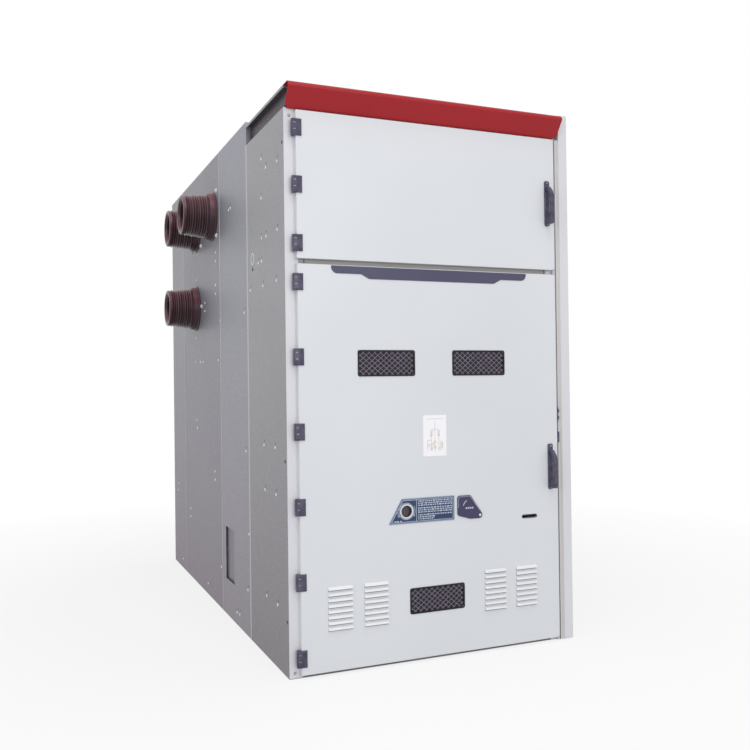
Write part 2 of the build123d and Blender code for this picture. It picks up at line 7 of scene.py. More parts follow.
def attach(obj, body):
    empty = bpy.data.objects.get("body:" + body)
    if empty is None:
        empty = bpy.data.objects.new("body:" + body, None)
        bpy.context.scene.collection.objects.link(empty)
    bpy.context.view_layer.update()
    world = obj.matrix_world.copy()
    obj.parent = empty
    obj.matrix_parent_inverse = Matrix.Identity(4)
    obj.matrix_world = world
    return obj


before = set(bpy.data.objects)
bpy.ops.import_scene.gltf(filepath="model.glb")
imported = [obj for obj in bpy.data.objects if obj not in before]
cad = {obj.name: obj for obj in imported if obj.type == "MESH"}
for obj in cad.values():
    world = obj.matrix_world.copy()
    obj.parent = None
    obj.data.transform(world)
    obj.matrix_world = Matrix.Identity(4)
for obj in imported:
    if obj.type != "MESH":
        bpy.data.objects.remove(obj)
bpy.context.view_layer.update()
print("frame loaded:", len(cad), "nodes")

# Metres. The doors face -Y, and the left wall is at -X.
leftWall = -0.7
frontFace = -1.4
doorFace = -1.427

cameraSettings = {
    "place": (-1.78969, -4.94678, 1.28175),
    "yaw": 0.4018,      # radians, turned right of +Y
    "pitch": 0.0082,
    "roll": -0.0123,
    "lens": 40.93,
}


def addCamera(s):
    yaw, pitch, roll = s["yaw"], s["pitch"], s["roll"]
    ahead = Vector((math.sin(yaw) * math.cos(pitch), math.cos(yaw) * math.cos(pitch), math.sin(pitch)))
    level = Vector((math.cos(yaw), -math.sin(yaw), 0))
    upright = level.cross(ahead)
    sideways = math.cos(roll) * level + math.sin(roll) * upright
    above = math.cos(roll) * upright - math.sin(roll) * level
    lensData = bpy.data.cameras.new("viewpoint")
    lensData.lens = s["lens"]
    lensData.sensor_width = 36
    lensData.sensor_fit = "HORIZONTAL"
    lensData.clip_end = 200
    camera = bpy.data.objects.new("viewpoint", lensData)
    bpy.context.scene.collection.objects.link(camera)
    turn = Matrix((sideways, above, -ahead)).transposed().to_4x4()
    camera.matrix_world = Matrix.Translation(s["place"]) @ turn
    bpy.context.scene.camera = camera


addCamera(cameraSettings)
print("camera placed")


# Node helpers
def newGroup(name, inputs, outputs):
    group = bpy.data.node_groups.new(name, "ShaderNodeTree")
    kinds = {"colour": "NodeSocketColor", "value": "NodeSocketFloat", "normal": "NodeSocketVector"}
    for label, kind, value in inputs:
        group.interface.new_socket(label, in_out="INPUT", socket_type=kinds[kind]).default_value = value
    for label, kind in outputs:
        group.interface.new_socket(label, in_out="OUTPUT", socket_type=kinds[kind])
    return group, group.nodes.new("NodeGroupInput"), group.nodes.new("NodeGroupOutput")


def addNode(tree, kind, **values):
    node = tree.nodes.new("ShaderNode" + kind)
    for name, value in values.items():
        setattr(node, name, value)
    return node


def join(tree, source, target):
    tree.links.new(source, target)


# Links a socket to its source, or sets it where the source is a plain value
def feed(tree, source, target):
    if hasattr(source, "is_linked"):
        join(tree, source, target)
    else:
        target.default_value = source


def blend(tree, factor, first, second):
    mix = addNode(tree, "Mix", data_type="RGBA")
    for socket, source in ((mix.inputs[0], factor), (mix.inputs[6], first), (mix.inputs[7], second)):
        feed(tree, source, socket)
    return mix.outputs[2]


def calc(tree, operation, *sources):
    node = addNode(tree, "Math", operation=operation)
    for socket, source in zip(node.inputs, sources):
        feed(tree, source, socket)
    return node.outputs[0]


def span(tree, source, low, high, newLow, newHigh):
    node = addNode(tree, "MapRange")
    for socket, value in zip(node.inputs[:5], (source, low, high, newLow, newHigh)):
        feed(tree, value, socket)
    return node.outputs[0]


def grain(tree, scale, detail, stretch=(1, 1, 1)):
    place = addNode(tree, "TexCoord")
    mapping = addNode(tree, "Mapping")
    mapping.inputs["Scale"].default_value = stretch
    noise = addNode(tree, "TexNoise")
    noise.inputs["Detail"].default_value = detail
    join(tree, place.outputs["Object"], mapping.inputs["Vector"])
    join(tree, mapping.outputs[0], noise.inputs["Vector"])
    feed(tree, scale, noise.inputs["Scale"])
    return noise.outputs["Fac"]


# 1 where a surface is seen by the camera, in a reflection or through glass
def seenDirectly(tree):
    rays = addNode(tree, "LightPath")
    indirect = calc(tree, "MAXIMUM", rays.outputs["Is Glossy Ray"], rays.outputs["Is Transmission Ray"])
    return calc(tree, "MAXIMUM", rays.outputs["Is Camera Ray"], indirect)


def opaque(colour):
    return (*colour, 1)


# Slow drift of a finish between two colours, as wide sheets have
def makeDrift():
    group, given, result = newGroup(
        "colour drift",
        [("Colour", "colour", (0.5, 0.5, 0.5, 1)), ("Tint", "colour", (0.4, 0.4, 0.4, 1)),
         ("Scale", "value", 1.5), ("Amount", "value", 0.5)],
        [("Colour", "colour"), ("Mask", "value")])
    wide = grain(group, given.outputs["Scale"], 2)
    mask = span(group, wide, 0.35, 0.65, 0.0, 1.0)
    join(group, blend(group, calc(group, "MULTIPLY", mask, given.outputs["Amount"]),
                      given.outputs["Colour"], given.outputs["Tint"]), result.inputs["Colour"])
    join(group, mask, result.inputs["Mask"])
    return group


# Crystal grain of zinc-coated sheet, with faint rolling streaks
def makeZinc():
    group, given, result = newGroup(
        "zinc grain",
        [("Colour", "colour", (0.5, 0.5, 0.5, 1)), ("Grains per metre", "value", 160.0),
         ("Contrast", "value", 0.2)],
        [("Colour", "colour"), ("Roughness", "value"), ("Height", "value")])
    place = addNode(group, "TexCoord")
    cells = addNode(group, "TexVoronoi")
    join(group, place.outputs["Object"], cells.inputs["Vector"])
    join(group, given.outputs["Grains per metre"], cells.inputs["Scale"])
    tone = addNode(group, "SeparateColor")
    join(group, cells.outputs["Color"], tone.inputs[0])
    streak = grain(group, 60.0, 2, (1, 1, 0.04))
    crystals = calc(group, "MULTIPLY", tone.outputs[0], 0.6)
    mixed = calc(group, "ADD", crystals, calc(group, "MULTIPLY", streak, 0.5))
    darker = span(group, mixed, 0.2, 0.9, 0.0, given.outputs["Contrast"])
    join(group, blend(group, darker, given.outputs["Colour"], (0.08, 0.08, 0.09, 1)), result.inputs["Colour"])
    join(group, span(group, tone.outputs[1], 0.0, 1.0, 0.42, 0.58), result.inputs["Roughness"])
    join(group, tone.outputs[2], result.inputs["Height"])
    return group


# Painted shade: a darker second colour that comes in towards the floor, where the wall gets less light
def makePaintedLowShade():
    group, given, result = newGroup(
        "painted low shade",
        [("Colour", "colour", (0.5, 0.5, 0.5, 1)), ("Low colour", "colour", (0.4, 0.4, 0.4, 1)),
         ("Reach", "value", 1.6)],
        [("Colour", "colour")])
    place = addNode(group, "TexCoord")
    height = addNode(group, "SeparateXYZ")
    join(group, place.outputs["Object"], height.inputs[0])
    share = span(group, height.outputs["Z"], 0.0, given.outputs["Reach"], 1.0, 0.0)
    toned = blend(group, share, given.outputs["Colour"], given.outputs["Low colour"])
    join(group, toned, result.inputs["Colour"])
    return group


# Softened edges: the normal of a small round, and a mask along it
def makeEdges():
    group, given, result = newGroup(
        "soft edges", [("Radius", "value", 0.001)], [("Normal", "normal"), ("Edge", "value")])
    bevel = addNode(group, "Bevel", samples=6)
    join(group, given.outputs["Radius"], bevel.inputs["Radius"])
    flat = addNode(group, "NewGeometry")
    compare = addNode(group, "VectorMath", operation="DOT_PRODUCT")
    join(group, bevel.outputs[0], compare.inputs[0])
    join(group, flat.outputs["True Normal"], compare.inputs[1])
    join(group, bevel.outputs[0], result.inputs["Normal"])
    join(group, span(group, compare.outputs["Value"], 0.99, 0.8, 0.0, 1.0), result.inputs["Edge"])
    return group


# Painted light and shade: upper faces lighter, as if lit from above, and grooves darker where light is shut
# out
def makeLightAndShade():
    group, given, result = newGroup(
        "painted light and groove shade",
        [("Colour", "colour", (0.5, 0.5, 0.5, 1)), ("Upper colour", "colour", (0.6, 0.6, 0.6, 1)),
         ("Groove colour", "colour", (0.1, 0.1, 0.1, 1)), ("Groove width", "value", 0.02)],
        [("Colour", "colour")])
    facing = addNode(group, "NewGeometry")
    upward = addNode(group, "SeparateXYZ")
    join(group, facing.outputs["Normal"], upward.inputs[0])
    litShare = span(group, upward.outputs["Z"], -0.15, 0.85, 0.0, 1.0)
    litUpper = blend(group, litShare, given.outputs["Colour"], given.outputs["Upper colour"])
    cover = addNode(group, "AmbientOcclusion", samples=8)
    join(group, given.outputs["Groove width"], cover.inputs["Distance"])
    grooveShade = span(group, cover.outputs["AO"], 0.45, 0.95, 1.0, 0.0)
    join(group, blend(group, grooveShade, litUpper, given.outputs["Groove colour"]), result.inputs["Colour"])
    return group


drift = makeDrift()
paintedLightAndShade = makeLightAndShade()
zinc = makeZinc()
paintedLowShade = makePaintedLowShade()
edges = makeEdges()


def placeGroup(tree, group, **values):
    node = addNode(tree, "Group", node_tree=group)
    for name, value in values.items():
        node.inputs[name.replace("_", " ")].default_value = value
    return node


def startMaterial(name):
    material = bpy.data.materials.new(name)
    material.use_nodes = True
    tree = material.node_tree
    tree.nodes.clear()
    shader = addNode(tree, "BsdfPrincipled")
    output = addNode(tree, "OutputMaterial")
    join(tree, shader.outputs[0], output.inputs[0])
    return material, tree, shader


def bumped(tree, shader, height, distance, base, strength=0.5):
    bump = addNode(tree, "Bump")
    bump.inputs["Distance"].default_value = distance
    bump.inputs["Strength"].default_value = strength
    join(tree, height, bump.inputs["Height"])
    join(tree, base, bump.inputs["Normal"])
    join(tree, bump.outputs[0], shader.inputs["Normal"])


def drifting(tree, s):
    return placeGroup(tree, drift, Colour=opaque(s["colour"]), Tint=opaque(s["tint"]),
                      Scale=s["drift"], Amount=s["amount"])


# Colours the shader, with the edge colour along the edges, and gives the edges' group. A lighter edge colour
# is painted highlight with some wear, and a darker one is painted shade
def paintedEdgesAndWear(tree, shader, tone, s):
    edge = placeGroup(tree, edges, Radius=s["edge"])
    edgeShare = calc(tree, "MULTIPLY", edge.outputs["Edge"], s["paintedEdgeShare"])
    join(tree, blend(tree, edgeShare, tone, opaque(s["paintedEdgeColour"])), shader.inputs["Base Color"])
    return edge


# A coat of paint, resin or plastic: colour drift, edges recoloured as painted highlight with some wear, and a
# fine skin
def coating(name, s):
    material, tree, shader = startMaterial(name)
    shade = drifting(tree, s)
    tone = shade.outputs["Colour"]
    # Painted light on the upper faces and painted shade in the grooves
    if "upper" in s:
        paintedShading = placeGroup(tree, paintedLightAndShade, Upper_colour=opaque(s["upper"]), Groove_colour=opaque(s["grooveShade"]),
                          Groove_width=s["grooveWidth"])
        join(tree, tone, paintedShading.inputs["Colour"])
        tone = paintedShading.outputs["Colour"]
    edge = paintedEdgesAndWear(tree, shader, tone, s)
    low, high = s["roughness"]
    join(tree, span(tree, shade.outputs["Mask"], 0.0, 1.0, low, high), shader.inputs["Roughness"])
    shader.inputs["Metallic"].default_value = s.get("metallic", 0)
    shader.inputs["Specular IOR Level"].default_value = s.get("gloss", 0.5)
    bumped(tree, shader, grain(tree, s["skin"], 2), s["skinDepth"], edge.outputs["Normal"])
    return material


# Zinc-coated sheet, with a darker second colour towards the floor as painted shade
def sheetMetal(name, s):
    material, tree, shader = startMaterial(name)
    shade = drifting(tree, s)
    crystal = placeGroup(tree, zinc, Grains_per_metre=s["grains"], Contrast=s["contrast"])
    lower = placeGroup(tree, paintedLowShade, Low_colour=opaque(s["low"]), Reach=s["reach"])
    join(tree, shade.outputs["Colour"], lower.inputs["Colour"])
    join(tree, lower.outputs["Colour"], crystal.inputs["Colour"])
    edge = paintedEdgesAndWear(tree, shader, crystal.outputs["Colour"], s)
    join(tree, crystal.outputs["Roughness"], shader.inputs["Roughness"])
    shader.inputs["Metallic"].default_value = s["metallic"]
    bumped(tree, shader, crystal.outputs["Height"], s["grainDepth"], edge.outputs["Normal"],
           s["grainStrength"])
    return material


greyPaint = {
    "colour": (0.66, 0.675, 0.70), "tint": (0.62, 0.635, 0.665), "drift": 1.1, "amount": 0.6,
    "edge": 0.0012, "paintedEdgeShare": 0.25, "paintedEdgeColour": (0.76, 0.77, 0.80),
    "roughness": (0.36, 0.44), "skin": 900, "skinDepth": 0.0001,
}
postPaint = {
    **greyPaint, "colour": (0.64, 0.635, 0.675), "tint": (0.62, 0.61, 0.645),
}
redPaint = {
    "colour": (0.365, 0.010, 0.016), "tint": (0.32, 0.009, 0.014), "drift": 2.2, "amount": 0.6, "gloss": 0.3,
    "edge": 0.002, "paintedEdgeShare": 0.3, "paintedEdgeColour": (0.5, 0.05, 0.06),
    "roughness": (0.32, 0.40), "skin": 700, "skinDepth": 0.0001,
}
railPaint = {
    "colour": (0.36, 0.34, 0.33), "tint": (0.31, 0.30, 0.29), "drift": 1.2, "amount": 0.8,
    "edge": 0.001, "paintedEdgeShare": 0.3, "paintedEdgeColour": (0.5, 0.48, 0.46),
    "roughness": (0.45, 0.55), "skin": 800, "skinDepth": 0.0001,
}
# The sill's dark colour is partly painted shade, standing for the shadow under the lower door
sillPaintAndShade = {
    "colour": (0.15, 0.14, 0.12), "tint": (0.11, 0.10, 0.09), "drift": 3.0, "amount": 0.6,
    "edge": 0.001, "paintedEdgeShare": 0.3, "paintedEdgeColour": (0.25, 0.24, 0.22),
    "roughness": (0.45, 0.55), "skin": 800, "skinDepth": 0.0001,
}
violetCasting = {
    "colour": (0.082, 0.075, 0.120), "tint": (0.042, 0.038, 0.072), "drift": 38.0, "amount": 1.0,
    "gloss": 0.35,
    "edge": 0.0018, "paintedEdgeShare": 0.8, "paintedEdgeColour": (0.30, 0.28, 0.40),
    "roughness": (0.34, 0.46), "skin": 1200, "skinDepth": 0.00015,
}
flapCoat = {
    **violetCasting, "colour": (0.046, 0.040, 0.098), "tint": (0.040, 0.035, 0.085), "drift": 8.0,
}
violetStrip = {
    "colour": (0.080, 0.076, 0.130), "tint": (0.068, 0.065, 0.112), "drift": 3.0, "amount": 0.6,
    "gloss": 0.25,
    "edge": 0.0006, "paintedEdgeShare": 0.5, "paintedEdgeColour": (0.24, 0.23, 0.34),
    "roughness": (0.38, 0.46), "skin": 900, "skinDepth": 0.00005,
}
bluePlate = {
    "colour": (0.030, 0.050, 0.120), "tint": (0.022, 0.040, 0.10), "drift": 9.0, "amount": 0.6, "gloss": 0.3,
    "edge": 0.0006, "paintedEdgeShare": 0.4, "paintedEdgeColour": (0.2, 0.25, 0.36),
    "roughness": (0.30, 0.38), "skin": 900, "skinDepth": 0.00005,
}
# The upper colour is painted light on the bushings' upper faces, and the groove colour is painted shade in
# the grooves between their ribs
castResin = {
    "colour": (0.046, 0.020, 0.026), "tint": (0.036, 0.015, 0.020), "drift": 6.0, "amount": 0.7, "gloss": 0.4,
    "upper": (0.25, 0.090, 0.115), "grooveShade": (0.030, 0.012, 0.016), "grooveWidth": 0.012,
    "edge": 0.002, "paintedEdgeShare": 0.45, "paintedEdgeColour": (0.34, 0.15, 0.18),
    "roughness": (0.26, 0.36), "skin": 500, "skinDepth": 0.0003,
}
rubber = {
    "colour": (0.012, 0.011, 0.014), "tint": (0.018, 0.017, 0.020), "drift": 20.0, "amount": 0.6,
    "gloss": 0.2,
    "edge": 0.0012, "paintedEdgeShare": 0.3, "paintedEdgeColour": (0.06, 0.06, 0.065),
    "roughness": (0.5, 0.62), "skin": 900, "skinDepth": 0.0001,
}
cardStock = {
    "colour": (0.86, 0.85, 0.875), "tint": (0.83, 0.82, 0.84), "drift": 12.0, "amount": 0.5,
    "edge": 0.0004, "paintedEdgeShare": 0.3, "paintedEdgeColour": (0.5, 0.5, 0.5),
    "roughness": (0.42, 0.5), "skin": 1500, "skinDepth": 0.00003,
}
# The low colour is a painted shade that comes in towards the floor, over the reach in metres
zincSheet = {
    "colour": (0.335, 0.335, 0.355), "tint": (0.30, 0.30, 0.325), "drift": 0.9, "amount": 0.8,
    "low": (0.222, 0.196, 0.228), "reach": 1.7, "grains": 170.0, "contrast": 0.12, "metallic": 0.55,
    "edge": 0.002, "paintedEdgeShare": 0.7, "paintedEdgeColour": (0.62, 0.62, 0.66),
    "grainDepth": 0.00005, "grainStrength": 0.3,
}
frontZinc = {
    **zincSheet, "colour": (0.37, 0.365, 0.385), "tint": (0.34, 0.34, 0.36), "low": (0.22, 0.205, 0.222),
}
middleZinc = {
    **zincSheet, "colour": (0.345, 0.345, 0.40), "tint": (0.325, 0.325, 0.365), "low": (0.265, 0.24, 0.27),
}
busbarZinc = {
    **zincSheet, "colour": (0.30, 0.30, 0.335), "tint": (0.27, 0.27, 0.30),
}
# The cable window's tray is darker than the wall as painted shade in its recess
trayShadedZinc = {
    **zincSheet, "colour": (0.20, 0.20, 0.23), "tint": (0.17, 0.17, 0.20), "low": (0.20, 0.20, 0.23),
    "metallic": 0.0,
}
# Near black: painted shade inside the wiring duct and under the roof's overhang
ductShadedZinc = {
    **zincSheet, "colour": (0.078, 0.060, 0.074), "tint": (0.068, 0.052, 0.065), "low": (0.076, 0.058, 0.072),
    "metallic": 0.1, "paintedEdgeShare": 0.2,
}
# Pale: painted highlight along the folded seams
seamHighlightZinc = {
    **zincSheet, "colour": (0.60, 0.59, 0.60), "tint": (0.55, 0.54, 0.56), "low": (0.50, 0.48, 0.49),
    "metallic": 0.2,
}
# Pale: the rivets' and bolts' metal lightened as painted highlight; the ring on the wall is this pale itself
paleDome = {
    "colour": (0.80, 0.80, 0.82), "tint": (0.70, 0.70, 0.72), "drift": 30.0, "amount": 0.5,
    "edge": 0.001, "paintedEdgeShare": 0.3, "paintedEdgeColour": (0.9, 0.9, 0.92), "metallic": 0.2,
    "roughness": (0.3, 0.4), "skin": 1500, "skinDepth": 0.00005,
}
darkHole = {
    **rubber, "colour": (0.035, 0.03, 0.035), "tint": (0.05, 0.045, 0.05),
}
palePrint = {
    **cardStock, "colour": (0.46, 0.52, 0.62), "tint": (0.40, 0.46, 0.56),
}
wirePaint = {
    "colour": (0.25, 0.215, 0.27), "tint": (0.18, 0.155, 0.20), "drift": 25.0, "amount": 0.7,
    "edge": 0.0004, "paintedEdgeShare": 0.2, "paintedEdgeColour": (0.4, 0.36, 0.42),
    "roughness": (0.4, 0.5), "skin": 1500, "skinDepth": 0.00003,
}
cardInk = {
    **cardStock, "colour": (0.74, 0.50, 0.30), "tint": (0.62, 0.50, 0.38), "drift": 40.0, "amount": 1.0,
}
paleInk = {
    **cardStock, "colour": (0.36, 0.35, 0.39), "tint": (0.44, 0.43, 0.46), "drift": 40.0, "amount": 1.0,
}
beigeStrip = {
    **greyPaint, "colour": (0.57, 0.545, 0.545), "tint": (0.53, 0.505, 0.505),
}
coverPaint = {
    **greyPaint, "colour": (0.64, 0.64, 0.665), "tint": (0.60, 0.605, 0.625),
}
plainSteel = {
    "colour": (0.30, 0.30, 0.315), "tint": (0.22, 0.22, 0.23), "drift": 30.0, "amount": 0.6,
    "edge": 0.001, "paintedEdgeShare": 0.5, "paintedEdgeColour": (0.6, 0.6, 0.62), "metallic": 0.7,
    "roughness": (0.28, 0.4), "skin": 1500, "skinDepth": 0.00005,
}
# Painted light: paler than the doors, for the lit door edges, the hinge gaps and the louvres' highlights
highlightPaint = {
    **greyPaint, "colour": (0.77, 0.78, 0.80), "tint": (0.74, 0.75, 0.77),
}
# Painted shadow under the louvres' hoods
louvreShade = {
    **greyPaint, "colour": (0.27, 0.25, 0.27), "tint": (0.24, 0.225, 0.24),
}
shutterGrey = {
    **greyPaint, "colour": (0.055, 0.05, 0.055), "tint": (0.045, 0.04, 0.045), "drift": 20.0,
}
# Painted shadow: the dark line in the gap beside the door's free edge
shadowLineGrey = {
    **greyPaint, "colour": (0.13, 0.12, 0.13), "tint": (0.11, 0.10, 0.11), "drift": 20.0,
}
# Pale: painted highlight along the flap's raised rim
flapRimHighlight = {
    **violetCasting, "colour": (0.24, 0.23, 0.34), "tint": (0.16, 0.15, 0.25),
}
borderPrint = {
    **cardStock, "colour": (0.22, 0.29, 0.40), "tint": (0.18, 0.24, 0.34),
}
brightMetal = {
    "colour": (0.72, 0.72, 0.73), "tint": (0.62, 0.62, 0.64), "drift": 30.0, "amount": 0.5,
    "edge": 0.001, "paintedEdgeShare": 0.5, "paintedEdgeColour": (0.9, 0.9, 0.92), "metallic": 0.9,
    "roughness": (0.22, 0.34), "skin": 1500, "skinDepth": 0.00005,
}
smokedGlass = {
    "colour": (0.022, 0.016, 0.032),
    "tintShare": 0.85,
    "drift": 25.0,
    "amount": 0.5,
    "roughness": 0.08,
    "smearedRoughness": 0.128,
    "ior": 1.45,
    "cover": 0.7,        # how opaque the pane is
    "smearedCover": 0.63,
}


def glazing(name, s):
    material, tree, shader = startMaterial(name)
    tint = [channel * s["tintShare"] for channel in s["colour"]]
    smudge = drifting(tree, {**s, "tint": tint})
    mask = smudge.outputs["Mask"]
    join(tree, smudge.outputs["Colour"], shader.inputs["Base Color"])
    join(tree, span(tree, mask, 0.0, 1.0, s["roughness"], s["smearedRoughness"]), shader.inputs["Roughness"])
    join(tree, span(tree, mask, 0.0, 1.0, s["cover"], s["smearedCover"]), shader.inputs["Alpha"])
    shader.inputs["IOR"].default_value = s["ior"]
    return material


coats = {
    "door paint": greyPaint, "post paint": postPaint, "cover paint": coverPaint, "painted highlight": highlightPaint,
    "red paint": redPaint, "rail paint": railPaint, "sill paint and shade": sillPaintAndShade, "beige strip": beigeStrip,
    "louvre shade": louvreShade, "shutter grey": shutterGrey, "painted shadow grey": shadowLineGrey,
    "violet casting": violetCasting, "flap coat": flapCoat, "flap rim highlight": flapRimHighlight, "violet strip": violetStrip,
    "blue plate": bluePlate, "pale print": palePrint, "border print": borderPrint,
    "card stock": cardStock, "card ink": cardInk, "pale ink": paleInk,
    "cast resin": castResin, "rubber": rubber, "dark hole": darkHole, "wire paint": wirePaint,
    "pale dome": paleDome, "plain steel": plainSteel, "bright metal": brightMetal,
}
sheets = {
    "zinc sheet": zincSheet, "front zinc": frontZinc, "middle zinc": middleZinc, "busbar zinc": busbarZinc,
    "tray zinc with painted shade": trayShadedZinc, "duct zinc with painted shade": ductShadedZinc, "seam zinc highlight": seamHighlightZinc,
}
finishes = {name: coating(name, settings) for name, settings in coats.items()}
finishes.update({name: sheetMetal(name, settings) for name, settings in sheets.items()})
finishes["smoked glass"] = glazing("smoked glass", smokedGlass)

cadFinishes = {
    "header": "red paint", "upper_door": "door paint", "lower_door": "door paint",
    "front_posts": "post paint",
    "end_cover": "cover paint", "rear_covers": "post paint", "top_rail": "post paint",
    "front_sill": "sill paint and shade", "middle_rail": "rail paint",
    "left_front_panel": "front zinc", "left_middle_panel": "middle zinc", "left_busbar_panel": "busbar zinc",
    "cable_window_tray": "tray zinc with painted shade", "duct_floor": "duct zinc with painted shade",
    "bushing_upper_front": "cast resin", "bushing_upper_rear": "cast resin", "bushing_lower": "cast resin",
    "frame_hinges": "violet casting", "upper_door_hinges": "violet casting",
    "lower_door_hinges": "violet casting",
    "upper_handle_base": "violet casting", "lower_handle_base": "violet casting",
    "upper_handle_lever": "violet casting", "lower_handle_lever": "violet casting",
    "hole_flap": "flap coat", "lock_keepers": "violet casting",
    "name_strip": "violet strip", "operating_plate": "blue plate",
    "crank_ring": "bright metal", "flap_rivet": "bright metal",
    "window_rims": "rubber", "window_panes": "smoked glass", "diagram_card": "card stock",
}
for nodeName, piece in cad.items():
    piece.data.materials.clear()
    piece.data.materials.append(finishes[cadFinishes.get(nodeName, "zinc sheet")])
print("finishes on the frame:", len(finishes))


# Directions that the left wall and the doors face
wallOut = (-1, 0, 0)
doorOut = (0, -1, 0)


# Mesh helpers
def finishPiece(name, bm, finish, body, smooth=False):
    mesh = bpy.data.meshes.new(name)
    bmesh.ops.recalc_face_normals(bm, faces=bm.faces)
    bm.to_mesh(mesh)
    bm.free()
    for face in mesh.polygons:
        face.use_smooth = smooth
    piece = bpy.data.objects.new(name, mesh)
    bpy.context.scene.collection.objects.link(piece)
    mesh.materials.append(finishes[finish])
    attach(piece, body)
    return piece


# Surface of revolution: profile is (radius, height) pairs, height along the direction
def addTurned(bm, centre, direction, profile, sides=24):
    turn = Vector(direction).to_track_quat("Z", "Y").to_matrix()
    rings = []
    for radius, height in profile:
        ring = []
        for step in range(sides if radius > 0 else 1):
            angle = 2 * math.pi * step / sides
            spot = Vector((radius * math.cos(angle), radius * math.sin(angle), height))
            ring.append(bm.verts.new(Vector(centre) + turn @ spot))
        rings.append(ring)
    for inner, outer in zip(rings, rings[1:]):
        for step in range(sides):
            after = (step + 1) % sides
            # A ring that shrinks to a point has one vertex, so its corners repeat and are merged
            corners = [ring[at % len(ring)]
                       for ring, at in ((inner, step), (inner, after), (outer, after), (outer, step))]
            bm.faces.new(list(dict.fromkeys(corners)))


# A flat bar between two points, lying in the plane of the door
def addBar(bm, start, end, width, thickness):
    start, end = Vector(start), Vector(end)
    along = (end - start).normalized()
    across = along.cross(Vector((0, 1, 0))).normalized() * width / 2
    deep = Vector((0, thickness / 2, 0))
    section = ((1, 1), (1, -1), (-1, -1), (-1, 1))
    ends = [[bm.verts.new(spot + side * across + level * deep) for side, level in section]
            for spot in (start, end)]
    for step in range(4):
        after = (step + 1) % 4
        bm.faces.new((ends[0][step], ends[0][after], ends[1][after], ends[1][step]))
    bm.faces.new(ends[0])
    bm.faces.new(reversed(ends[1]))


# Spots in mm: across from the cabinet's left edge, back from its front, and up from the floor
def onLeftWall(back, up):
    return (leftWall, frontFace + back / 1000, up / 1000)


def onFront(across, up, y):
    return (leftWall + across / 1000, y, up / 1000)


# Joined bars along a row of (across, up) spots
def addLine(bm, spots, y, width, thickness=0.0004):
    places = [onFront(across, up, y) for across, up in spots]
    for start, end in zip(places, places[1:]):
        addBar(bm, start, end, width, thickness)


def arcSpots(centre, radius, first, last, steps=14):
    middleX, middleY = centre
    angles = [math.radians(first + (last - first) * step / steps) for step in range(steps + 1)]
    return [(middleX + radius * math.cos(angle), middleY + radius * math.sin(angle)) for angle in angles]


# The upright step between two heights in mm
def upBy(low, high):
    return (0, 0, (high - low) / 1000)


# A closed outline carried along a step, with both ends shut
def addPrism(bm, outline, step):
    near = [bm.verts.new(spot) for spot in outline]
    far = [bm.verts.new(Vector(spot) + Vector(step)) for spot in outline]
    bm.faces.new(near)
    bm.faces.new(reversed(far))
    for i in range(len(near)):
        after = (i + 1) % len(near)
        bm.faces.new((near[i], near[after], far[after], far[i]))


windowMesh = {
    "centres": ((-0.236, 1.366), (0.239, 1.366), (0.007, 0.281)),
    "size": (0.272, 0.108),
    "across": 9.6,       # diamonds along the window
    "down": 4.6,
    "wire": 0.0019,
    "thickness": 0.0009,
    "depth": 0.0022,     # behind the door's face, on the pane
    "layer": 0.0002,     # how far each set of wires lies before or behind that
}


# Cuts a line to the box round the origin, or gives None
def clipToBox(start, end, halfWidth, halfHeight):
    low, high = 0.0, 1.0
    for a, b, half in ((start[0], end[0], halfWidth), (start[1], end[1], halfHeight)):
        step = b - a
        if abs(step) < 1e-9:
            if abs(a) > half:
                return None
            continue
        first, last = sorted(((-half - a) / step, (half - a) / step))
        low, high = max(low, first), min(high, last)
    if low >= high:
        return None
    return [[start[i] + (end[i] - start[i]) * share for i in (0, 1)] for share in (low, high)]


def makeWindowMesh(s):
    bm = bmesh.new()
    wide, tall = s["size"]
    cellWidth, cellHeight = wide / s["across"], tall / s["down"]
    reach = tall / cellHeight * cellWidth
    steps = int(s["across"] + s["down"]) + 2
    for centreX, centreZ in s["centres"]:
        for lean in (-1, 1):
            y = doorFace + s["depth"] + lean * s["layer"]
            for step in range(-steps, steps + 1):
                shift = step * cellWidth
                start, end = (shift - reach, -lean * tall), (shift + reach, lean * tall)
                line = clipToBox(start, end, wide / 2, tall / 2)
                if line:
                    ends = [(centreX + x, y, centreZ + z) for x, z in line]
                    addBar(bm, *ends, s["wire"], s["thickness"])
    finishPiece("windowMesh", bm, "wire paint", "lower_door")


makeWindowMesh(windowMesh)
print("window mesh made")


